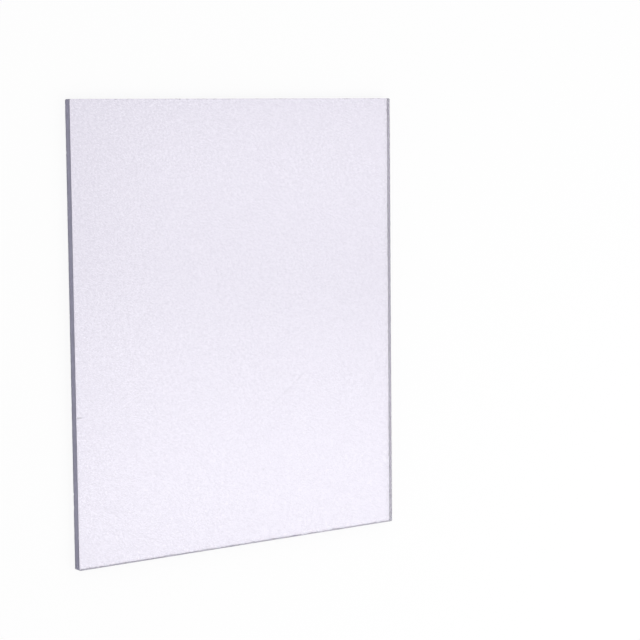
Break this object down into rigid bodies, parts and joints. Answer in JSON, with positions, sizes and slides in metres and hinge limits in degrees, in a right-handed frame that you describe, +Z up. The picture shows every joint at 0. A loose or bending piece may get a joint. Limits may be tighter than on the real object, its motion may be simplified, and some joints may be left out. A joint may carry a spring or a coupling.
{
  "type": "polycarbonate sheet",
  "caption": "Flat rectangular piece of solid translucent polycarbonate sheet with a finely embossed top face, a smooth underside and sawn edges with lightly bevelled arrises.",
  "frame": {"origin": "centre of the underside, which lies on the floor", "axes": "+Z up out of the embossed face; the long side along Y, the short side along X, the thickness along Z"},
  "size_m": [0.128, 0.15, 0.003],
  "materials": {
    "polycarbonate": "translucent, faintly lilac; fine embossing on the upper face, smooth underside, satin sawn edges"
  },
  "bodies": {
    "root": {"sheet": "polycarbonate"}
  },
  "joints": []
}
